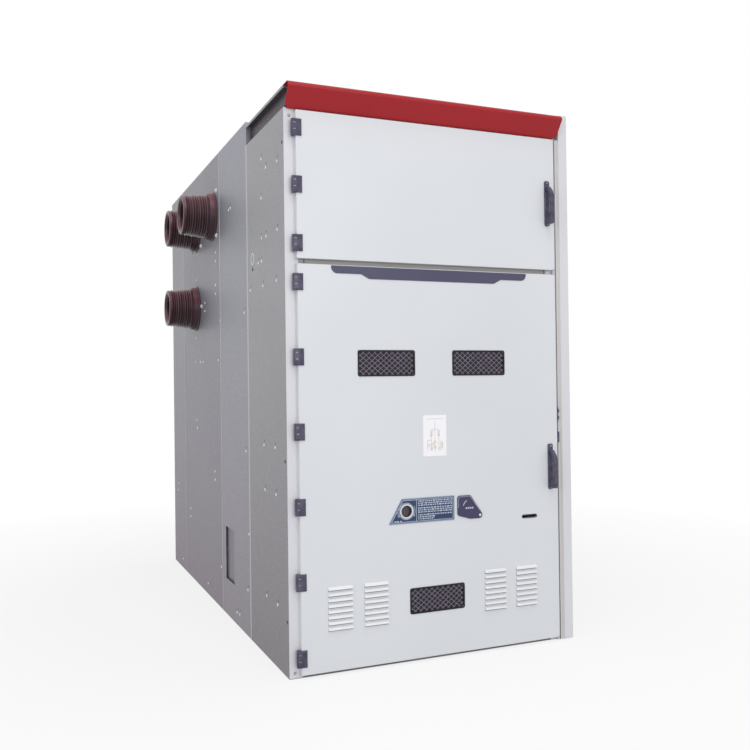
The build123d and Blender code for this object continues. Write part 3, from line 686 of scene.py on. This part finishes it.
# Fixings of the left wall, as (back, up) in mm. A profile is (radius, height) pairs in metres.
wallFixings = {
    "frontStrip": ((105, 2270), (365, 2342), (286, 2284), (369, 2158), (110, 1966), (292, 1966), (370, 1968),
                   (373, 1859), (432, 1858), (130, 1741), (355, 1741), (583, 1743), (180, 990), (365, 991),
                   (173, 780), (355, 781), (167, 285), (346, 285)),
    "middleStrip": ((987, 2231), (1029, 2228), (710, 1643), (702, 938), (663, 523), (695, 235), (926, 66),
                    (870, 69)),
    "busbarStrip": ((1361, 2045), (1363, 1995), (1370, 1856), (1372, 1806), (1313, 1419), (1732, 1419),
                    (1820, 1421), (1976, 1425), (1951, 1582), (1671, 1779), (1674, 1730), (1934, 1948),
                    (1960, 1052), (1943, 1002), (1437, 769), (1431, 720), (2183, 454), (2186, 400),
                    (1659, 65), (1291, 237), (1262, 1644)),
    "rearStrip": ((2481, 63), (2638, 574), (2641, 527), (2786, 706), (2789, 649)),
    "rivet": 0.0072,     # radius of the dome
    "dome": ((1, 0.0), (1, 0.0008), (0.85, 0.0022), (0.5, 0.0034), (0, 0.0038)),   # radii as shares of that
    "ring": (540, 1893),
    "ringShape": ((0.024, 0.0), (0.025, 0.001), (0.028, 0.001), (0.029, 0.0)),
    "bolts": ((1323, 2397), (1330, 2139), (1767, 2144), (1762, 1767)),
    "washerShape": ((0.014, 0.0), (0.014, 0.0015), (0.009, 0.0018)),
    "headShape": ((0.0095, 0.0015), (0.0095, 0.008), (0.008, 0.009), (0, 0.009)),
    "rivetShadowFrom": (-7, 20),     # painted shadow: a dark disc beside each rivet of the two front strips
    "rivetShadowShape": ((0.0045, 0.0), (0.0045, 0.0003), (0, 0.0003)),
    "holes": ((536, 1842), (2042, 2142)),
    "edgeHoles": ((26, 2334), (32, 939), (24, 242)),
    "plugShape": ((0.0095, 0.0), (0.0095, 0.0005), (0.006, 0.0008), (0, 0.0008)),
    "edgePlug": 0.8,     # share of the plug's radius
}


# The profile with its radii multiplied
def widened(profile, share):
    return [(radius * share, height) for radius, height in profile]


def makeWallFixings(s):
    bm = bmesh.new()
    dome = widened(s["dome"], s["rivet"])
    for strip in ("frontStrip", "middleStrip", "busbarStrip", "rearStrip"):
        for spot in s[strip]:
            addTurned(bm, onLeftWall(*spot), wallOut, dome, 16)
    addTurned(bm, onLeftWall(*s["ring"]), wallOut, s["ringShape"], 40)
    finishPiece("wallRivets", bm, "pale dome", "cabinet", True)
    bm = bmesh.new()
    for spot in s["bolts"]:
        addTurned(bm, onLeftWall(*spot), wallOut, s["washerShape"], 24)
        addTurned(bm, onLeftWall(*spot), wallOut, s["headShape"], 6)
    finishPiece("bushingBolts", bm, "pale dome", "cabinet")
    bm = bmesh.new()
    # Painted shadow: a dark disc beside each rivet of the two front strips
    shadowBack, shadowUp = s["rivetShadowFrom"]
    for back, up in s["frontStrip"] + s["middleStrip"]:
        addTurned(bm, onLeftWall(back + shadowBack, up + shadowUp), wallOut, s["rivetShadowShape"], 12)
    finishPiece("wallRivetShadows", bm, "dark hole", "cabinet")
    bm = bmesh.new()
    for spot in s["holes"]:
        addTurned(bm, onLeftWall(*spot), wallOut, s["plugShape"], 20)
    for spot in s["edgeHoles"]:
        addTurned(bm, onLeftWall(*spot), wallOut, widened(s["plugShape"], s["edgePlug"]), 16)
    finishPiece("wallPlugs", bm, "rubber", "cabinet", True)


makeWallFixings(wallFixings)
print("wall rivets and plugs made")

# Folded beads along the wall's seams, pale as painted highlight, as (back, bottom, top, width) in mm
wallSeams = {
    "beads": ((640, 4, 2478, 20), (1255, 4, 2596, 9), (2340, 4, 2596, 7), (1860, 1943, 2132, 5)),
    "shape": ((-1, 0), (-0.6, 1), (0.6, 1), (1, 0)),     # as shares of half the width and of the rise
    "rise": 0.0018,
}


def makeWallSeams(s):
    bm = bmesh.new()
    for back, low, high, wide in s["beads"]:
        half = wide / 2000
        start = Vector(onLeftWall(back, low))
        outline = [start + Vector((-out * s["rise"], along * half, 0)) for along, out in s["shape"]]
        addPrism(bm, outline, upBy(low, high))
    finishPiece("wallSeams", bm, "seam zinc highlight", "cabinet")


makeWallSeams(wallSeams)
print("wall seams made")

# Painted shade under the roof plate's overhang, a dark sheet, as (across, back, up) limits in mm
roofOverhangShade = {"across": (1.6, 27.6), "back": (8, 636), "up": (2574.6, 2575.8)}


def makeRoofOverhangShade(s):
    bm = bmesh.new()
    (first, last), (near, far), (low, high) = s["across"], s["back"], s["up"]
    corners = ((first, near), (last, near), (last, far), (first, far))
    outline = [onFront(across, low, frontFace + back / 1000) for across, back in corners]
    addPrism(bm, outline, upBy(low, high))
    finishPiece("roofOverhangShade", bm, "duct zinc with painted shade", "cabinet")


makeRoofOverhangShade(roofOverhangShade)
print("roof overhang shade made")

# Screws of the front, as (across, up) in mm from the left edge and the floor
frontScrews = {
    "post": ((25, 2447), (24, 26)),
    "postRadius": 0.0065,
    "upperHinges": (1889, 2143, 2391),
    "lowerHinges": (90, 418, 743, 1069, 1394, 1720),
    "leaf": 0.004,       # the hinge leaves' thickness, in metres
    "markUps": (19, -9),     # marks of each hinge, above its middle
    "markAcross": (34, 44),
    "markFace": 0.0032,  # before the leaf, in metres
    "markWidth": 0.0028,
    "markThickness": 0.0008,
    "handles": {"upper_door": 2036, "lower_door": 747},
    "handleAcross": 1333,
    "handleUps": (212, 8),
    "handleBase": 0.008,     # the handles' base plates, in metres
    "handleScrew": 0.0048,
    "shape": ((1, 0.0), (1, 0.2), (0.75, 0.5), (0.3, 0.6), (0.25, 0.35), (0, 0.35)),   # shares of the radius
}


def makeFrontScrews(s):
    postScrew, handleScrew = [[(radius * share, radius * height) for share, height in s["shape"]]
                              for radius in (s["postRadius"], s["handleScrew"])]
    bm = bmesh.new()
    for spot in s["post"]:
        addTurned(bm, onFront(*spot, frontFace), doorOut, postScrew, 20)
    finishPiece("postScrews", bm, "plain steel", "cabinet", True)
    first, last = s["markAcross"]
    markFace = doorFace - s["leaf"] - s["markFace"]
    for body, heights in (("upper_door", s["upperHinges"]), ("lower_door", s["lowerHinges"])):
        bm = bmesh.new()
        for height in heights:
            for up in s["markUps"]:
                addLine(bm, ((first, height + up), (last, height + up)), markFace,
                        s["markWidth"], s["markThickness"])
        for up in s["handleUps"]:
            foot = onFront(s["handleAcross"], s["handles"][body] + up, doorFace - s["handleBase"])
            addTurned(bm, foot, doorOut, handleScrew, 16)
        finishPiece(body + "Screws", bm, "plain steel", body)


makeFrontScrews(frontScrews)
print("front screws made")

# Ridged caps on the hinge leaves: (across, forward) in mm across the ridge, and the height
hingeCaps = {
    "ridge": ((29, 0.2), (32, 3.0), (50, 3.0), (71, 0.4)),
    "height": 73,
    "slope": 7,          # how far the ridge stops short of the cap's ends
}


def makeHingeCaps(s, screws):
    leafFace = doorFace - screws["leaf"]
    for body, heights in (("upper_door", screws["upperHinges"]), ("lower_door", screws["lowerHinges"])):
        bm = bmesh.new()
        for height in heights:
            rows = []
            for end, inset in ((-1, 0), (-1, 1), (1, 1), (1, 0)):
                up = height + end * (s["height"] / 2 - inset * s["slope"])
                rows.append([bm.verts.new(onFront(across, up, leafFace - forward * inset / 1000))
                             for across, forward in s["ridge"]])
            for low, high in zip(rows, rows[1:]):
                for i in range(len(low) - 1):
                    bm.faces.new((low[i], low[i + 1], high[i + 1], high[i]))
        finishPiece(body + "HingeCaps", bm, "violet casting", body)


makeHingeCaps(hingeCaps, frontScrews)
print("hinge caps made")

# Pale print of the operating plate: border, divider, turning arrows and rows of dashes that aren't words
platePrint = {
    "face": -1.4291,
    "edging": ((468, 638.5), (796.5, 638.5), (796.5, 746.5), (532, 746.5), (468, 638.5)),
    "border": ((477, 644), (791, 644), (791, 741), (536, 741), (477, 644)),
    "divider": ((603, 641), (603, 744)),
    "line": 0.0022,
    "edgingLine": 0.0045,
    "hole": (552, 692),
    "haloRadius": 37,
    "haloLine": 0.003,
    "arrowRadius": 44,
    "arrows": ((150, 215), (30, -35)),     # degrees
    "barb": 9,
    "barbTurn": 0.6,
    "rows": 9,
    "rowsFrom": (611, 735),
    "rowsTo": (787, 652),
    "dash": 0.0048,
    "dashGap": 3.5,
    "dashLength": 3,     # the shortest dash
    "dashSpread": 11,    # how much longer others are, at most
    "dashBolder": 0.3,   # share that every other dash is wider
    "rowEnd": 4,         # no dash starts nearer than this to a row's end
    "lowDashes": (492, 505, 520),
    "lowDashUp": 648.5,
    "lowDash": 9,        # length
    "shutterFace": -1.4105,
    "shutterShape": ((0.031, 0.0), (0.031, 0.0006), (0.012, 0.0009), (0, 0.0009)),
    "flapFace": -1.4317,
    "flapArc": ((874, 692), 30, 168, 110, 10),     # middle, radius, first and last degree, steps
    "flapArcLine": 0.004,
    "flapDashes": (857, 868, 879, 890),
    "flapDashUp": 686,
    "flapDash": 8,
    "flapDashLine": 0.0075,
    "flapRimHighlight": ((818.5, 690), (818.5, 727), (822, 736), (830, 741), (880, 741), (910, 702), (938, 665)),
    "rimLine": (0.0045, 0.0022),     # width and thickness
}


# A level dash, from its left end
def addDash(bm, across, up, length, y, width):
    addLine(bm, ((across, up), (across + length, up)), y, width)


# A turning arrow: an arc with two barbs at its end
def addArrow(bm, s, first, last):
    spots = arcSpots(s["hole"], s["arrowRadius"], first, last)
    addLine(bm, spots, s["face"], s["line"])
    tip, before = Vector(spots[-1]), Vector(spots[-3])
    back = (before - tip).normalized() * s["barb"]
    for turn in (s["barbTurn"], -s["barbTurn"]):
        cosine, sine = math.cos(turn), math.sin(turn)
        barb = Vector((back.x * cosine - back.y * sine, back.x * sine + back.y * cosine))
        addLine(bm, (tuple(tip), tuple(tip + barb)), s["face"], s["line"])


# Rows of dashes of uneven length and height, with the last two rows half as long
def addRows(bm, s):
    (first, top), (last, bottom) = s["rowsFrom"], s["rowsTo"]
    for row in range(s["rows"]):
        up = top - (top - bottom) * row / (s["rows"] - 1)
        end = last if row < s["rows"] - 2 else (first + last) / 2
        across, step = first, row
        while across < end - s["rowEnd"]:
            longer = (7 * step * step + 5 * row + step) % s["dashSpread"]
            length = min(s["dashLength"] + longer, end - across)
            lift = (step * 3 + row) % 3 - 1
            width = s["dash"] * (1 + s["dashBolder"] * (step % 2))
            addDash(bm, across, up + lift, length, s["face"], width)
            across += length + s["dashGap"]
            step += 1


def makePlatePrint(s):
    bm = bmesh.new()
    y = s["face"]
    addLine(bm, s["border"], y, s["line"])
    addLine(bm, s["divider"], y, s["line"])
    addLine(bm, arcSpots(s["hole"], s["haloRadius"], 0, 360, 40), y, s["haloLine"])
    for first, last in s["arrows"]:
        addArrow(bm, s, first, last)
    addRows(bm, s)
    for across in s["lowDashes"]:
        addDash(bm, across, s["lowDashUp"], s["lowDash"], y, s["dash"])
    finishPiece("platePrint", bm, "pale print", "lower_door")
    bm = bmesh.new()
    addTurned(bm, onFront(*s["hole"], s["shutterFace"]), doorOut, s["shutterShape"], 32)
    finishPiece("crankShutter", bm, "shutter grey", "lower_door")
    bm = bmesh.new()
    addLine(bm, s["edging"], y, s["edgingLine"])
    finishPiece("plateEdging", bm, "border print", "lower_door")
    bm = bmesh.new()
    addLine(bm, arcSpots(*s["flapArc"]), s["flapFace"], s["flapArcLine"])
    for across in s["flapDashes"]:
        addDash(bm, across, s["flapDashUp"], s["flapDash"], s["flapFace"], s["flapDashLine"])
    finishPiece("flapPrint", bm, "pale print", "hole_flap")
    bm = bmesh.new()
    addLine(bm, s["flapRimHighlight"], s["flapFace"], *s["rimLine"])
    finishPiece("flapRimHighlight", bm, "flap rim highlight", "hole_flap")


makePlatePrint(platePrint)
print("plate print made")

# Faint circuit lines and symbols on the card
cardPrint = {
    "face": -1.4283,
    "lines": (((660, 1108), (742, 1108)), ((702, 1098), (702, 955)), ((684, 1048), (684, 960)),
              ((722, 1048), (722, 962)), ((684, 1060), (722, 1060)), ((742, 1000), (742, 966)),
              ((664, 1010), (664, 962)), ((664, 1010), (684, 1010))),
    "line": 0.0013,
    "coils": ((684, 1050), (684, 1034), (722, 1050), (722, 1034), (702, 1002), (690, 990), (736, 996),
              (736, 982), (672, 986), (684, 972), (702, 978), (726, 970)),
    "coilRadius": 5.5,
    "coilLine": 0.0022,
    "coilRise": 0.0002,     # before the lines
}


def makeCardPrint(s):
    bm = bmesh.new()
    for ends in s["lines"]:
        addLine(bm, ends, s["face"], s["line"])
    finishPiece("cardLines", bm, "pale ink", "lower_door")
    bm = bmesh.new()
    for spot in s["coils"]:
        addLine(bm, arcSpots(spot, s["coilRadius"], 0, 360, 12), s["face"] - s["coilRise"], s["coilLine"])
    finishPiece("cardCoils", bm, "card ink", "lower_door")


makeCardPrint(cardPrint)
print("card print made")

# Thin skins over the front's folds, as outlines of (across, forward) in mm, the hinged door edges' skins pale
# as painted light, with the hinge gaps' pale strips (painted light) and the dark line by the post (painted
# shadow) beside them, the louvres' skins, pale as painted highlights, as (forward, up), and the rim of the
# lock's slot, as (across, up)
frontStrips = {
    "doors": {"upper_door": (1828, 2463), "lower_door": (24, 1795)},
    "hingedEdgeLight": ((47.3, 6.5), (47.3, 26), (48.2, 26.6), (48.2, 6.5)),
    "freeEdge": ((1365, 25.2), (1365, 27.3), (1376, 27.3), (1377, 26.6), (1377, 19), (1375.8, 19),
                 (1375.8, 25.2)),
    "hingedGapLight": ((45.4, 0), (45.4, 4.2), (60, 4.2), (60, 0)),
    "post": (4, 2469),
    "postSkin": ((1372.3, 0), (1372.3, 16.2), (1373, 16.8), (1399, 16.8), (1407.4, 24.6), (1407.8, 24.6),
                 (1407.8, 10), (1400.4, 10), (1399.6, 15.4), (1373, 15.4), (1373, 0)),
    "freeEdgeShadow": ((1383.4, 16.4), (1384, 17.8), (1389.4, 17.8), (1390, 16.4)),
    "louvre": ((0.1, 14.3), (6.5, 7.4), (8.45, -0.2), (7.7, -0.2), (5.8, 6.8), (0.1, 13.4)),
    "louvreBanks": (228, 400, 1015, 1188),
    "louvreTop": 373,
    "louvrePitch": 25,
    "louvreRows": 8,
    "louvreLength": 115,
    "louvreOver": 0.3,   # how far a highlight passes each end
    "louvreShade": 4.2,
    "louvreShadeDrop": 1.5,
    "shadeFace": 0.0003,     # before the door, in metres
    "slotRim": ((1174, 630.2), (1246, 630.2), (1251.5, 626), (1251.5, 620), (1246, 615.8), (1174, 615.8),
                (1168.5, 620), (1168.5, 626), (1174, 630.2)),
    "slotFace": 0.0004,
    "slotLine": (0.0035, 0.0012),     # width and thickness
}


# One piece of upright strips with the same outline, each between its own two heights
def makeStrips(name, outline, heights, finish, body):
    bm = bmesh.new()
    for low, high in heights:
        places = [onFront(across, low, frontFace - forward / 1000) for across, forward in outline]
        addPrism(bm, places, upBy(low, high))
    finishPiece(name, bm, finish, body)


def makeFrontStrips(s):
    for body, heights in s["doors"].items():
        # The hinged door edges and the strips in the hinge gaps are pale as painted light
        makeStrips(body + "HingedEdgeLight", s["hingedEdgeLight"], [heights], "painted highlight", body)
        makeStrips(body + "FreeEdge", s["freeEdge"], [heights], "door paint", body)
    makeStrips("hingedGapLights", s["hingedGapLight"], s["doors"].values(), "painted highlight", "cabinet")
    makeStrips("postStripSkin", s["postSkin"], [s["post"]], "beige strip", "cabinet")
    # A dark line beside the post's skin, painted shadow of the gap by the door's free edge
    makeStrips("postStripShadow", s["freeEdgeShadow"], [s["post"]], "painted shadow grey", "cabinet")
    bm = bmesh.new()
    addLine(bm, s["slotRim"], doorFace - s["slotFace"], *s["slotLine"])
    finishPiece("slotRim", bm, "rubber", "lower_door")


def makeLouvreHighlights(s):
    # A painted highlight over each hood, and a painted shadow line under it
    highlights, shades = bmesh.new(), bmesh.new()
    length, over, shade = s["louvreLength"], s["louvreOver"], s["louvreShade"]
    for middle in s["louvreBanks"]:
        start = middle - length / 2
        for row in range(s["louvreRows"]):
            foot = s["louvreTop"] - row * s["louvrePitch"]
            outline = [onFront(start - over, foot + up, doorFace - forward / 1000)
                       for forward, up in s["louvre"]]
            addPrism(highlights, outline, ((length + 2 * over) / 1000, 0, 0))
            up = foot - s["louvreShadeDrop"] - shade / 2
            addDash(shades, start, up, length, doorFace - s["shadeFace"], shade / 1000)
    finishPiece("louvreHighlights", highlights, "painted highlight", "lower_door")
    finishPiece("louvreShades", shades, "louvre shade", "lower_door")


makeLouvreHighlights(frontStrips)
makeFrontStrips(frontStrips)
print("front strips made")

# Dark ticks at both ends of the gap between the doors
gapTicks = {"across": (86, 1330), "from": 1798, "to": 1825, "face": 0.0006, "line": (0.003, 0.0012)}


def makeGapTicks(s):
    bm = bmesh.new()
    for across in s["across"]:
        addLine(bm, ((across, s["from"]), (across, s["to"])), frontFace - s["face"], *s["line"])
    finishPiece("gapTicks", bm, "dark hole", "cabinet")


makeGapTicks(gapTicks)
print("gap ticks made")

lighting = {
    "lamps": {
        "key": {"place": (0.5, -11.0, 3.0), "size": 5.0, "power": 240, "aim": (0, -1.4, 1.2)},
        "side": {"place": (-9.0, -5.0, 4.0), "size": 5.0, "power": 105, "aim": (-0.7, -0.5, 1.5)},
        "top": {"place": (-1.0, -5.0, 9.0), "size": 5.0, "power": 220, "aim": (0, -1.0, 1.0)},
    },
    "around": 0.6,       # strength of the even light from all sides
    "aroundColour": (0.97, 0.98, 1.0),
    "backdrop": (1, 1, 1),
}


def addLamps(s):
    for name, lampSettings in s["lamps"].items():
        lampData = bpy.data.lights.new(name, "AREA")
        lampData.shape = "SQUARE"
        lampData.size = lampSettings["size"]
        lampData.energy = lampSettings["power"]
        lamp = bpy.data.objects.new(name, lampData)
        place, aim = Vector(lampSettings["place"]), Vector(lampSettings["aim"])
        lamp.location = place
        lamp.rotation_euler = (aim - place).to_track_quat("-Z", "Y").to_euler()
        bpy.context.scene.collection.objects.link(lamp)


# The even light falls on everything, and the backdrop is what the camera sees
def addWorld(s):
    world = bpy.data.worlds.new("studio")
    bpy.context.scene.world = world
    world.use_nodes = True
    tree = world.node_tree
    tree.nodes.clear()
    soft = addNode(tree, "Background")
    soft.inputs["Color"].default_value = opaque(s["aroundColour"])
    soft.inputs["Strength"].default_value = s["around"]
    white = addNode(tree, "Background")
    white.inputs["Color"].default_value = opaque(s["backdrop"])
    mix = addNode(tree, "MixShader")
    output = addNode(tree, "OutputWorld")
    join(tree, seenDirectly(tree), mix.inputs[0])
    join(tree, soft.outputs[0], mix.inputs[1])
    join(tree, white.outputs[0], mix.inputs[2])
    join(tree, mix.outputs[0], output.inputs[0])


floorSettings = {
    "radius": 40.0,
    "below": 0.0005,     # how far under the cabinet it lies
    "colour": (0.80, 0.80, 0.80),
    "tintShare": 0.98,
    "drift": 0.6,
    "amount": 0.5,
    "roughness": 0.9,
    "keepShadow": 0.22,  # how much of the floor's own shading the camera sees near the cabinet
    "fadeStart": 1.5,
    "fadeEnd": 4.5,
}


def addFloor(s):
    bm = bmesh.new()
    bmesh.ops.create_circle(bm, cap_ends=True, segments=64, radius=s["radius"])
    mesh = bpy.data.meshes.new("floor")
    bm.to_mesh(mesh)
    bm.free()
    floor = bpy.data.objects.new("floor", mesh)
    floor.location.z = -s["below"]
    bpy.context.scene.collection.objects.link(floor)
    material, tree, shader = startMaterial("pale floor")
    tint = [channel * s["tintShare"] for channel in s["colour"]]
    shade = drifting(tree, {**s, "tint": tint})
    join(tree, shade.outputs["Colour"], shader.inputs["Base Color"])
    shader.inputs["Roughness"].default_value = s["roughness"]
    glow = addNode(tree, "Emission")
    spot = addNode(tree, "NewGeometry")
    length = addNode(tree, "VectorMath", operation="LENGTH")
    join(tree, spot.outputs["Position"], length.inputs[0])
    whiten = span(tree, length.outputs["Value"], s["fadeStart"], s["fadeEnd"], 1 - s["keepShadow"], 1.0)
    mix = addNode(tree, "MixShader")
    join(tree, calc(tree, "MULTIPLY", whiten, seenDirectly(tree)), mix.inputs[0])
    join(tree, shader.outputs[0], mix.inputs[1])
    join(tree, glow.outputs[0], mix.inputs[2])
    join(tree, mix.outputs[0], tree.nodes["Material Output"].inputs[0])
    mesh.materials.append(material)


addLamps(lighting)
addWorld(lighting)
addFloor(floorSettings)
bpy.context.scene.view_settings.view_transform = "Standard"
print("lamps, world and floor made")
